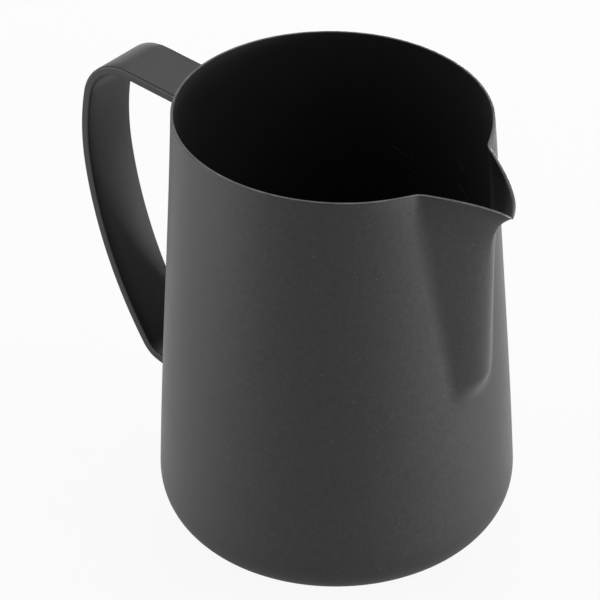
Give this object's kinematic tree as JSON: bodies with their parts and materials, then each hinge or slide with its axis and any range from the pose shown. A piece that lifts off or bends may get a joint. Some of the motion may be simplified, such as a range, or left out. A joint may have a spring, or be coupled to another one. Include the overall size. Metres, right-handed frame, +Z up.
{
  "type": "milk_frothing_pitcher",
  "caption": "Drawn sheet-steel milk frothing pitcher with a wide base, a tapering wall, a pressed pouring spout and a bent strap handle opposite the spout.",
  "frame": {"origin": "on the vertical axis of the cup, at the plane of the ring it stands on", "axes": "+Z up through the open rim; +X out through the spout; -X out through the handle; +Y to the left when the spout points away"},
  "size_m": [0.124, 0.0876, 0.1114],
  "materials": {
    "coated_sheet": "matte fine-grained black coating over drawn sheet steel",
    "coated_strap": "matte fine-grained black coating over flat bar",
    "coated_weld": "matte black coating over a dressed weld bead"
  },
  "bodies": {
    "root": {"cup": "coated_sheet", "handle": "coated_strap", "upper_weld": "coated_weld", "lower_weld": "coated_weld"}
  },
  "joints": []
}
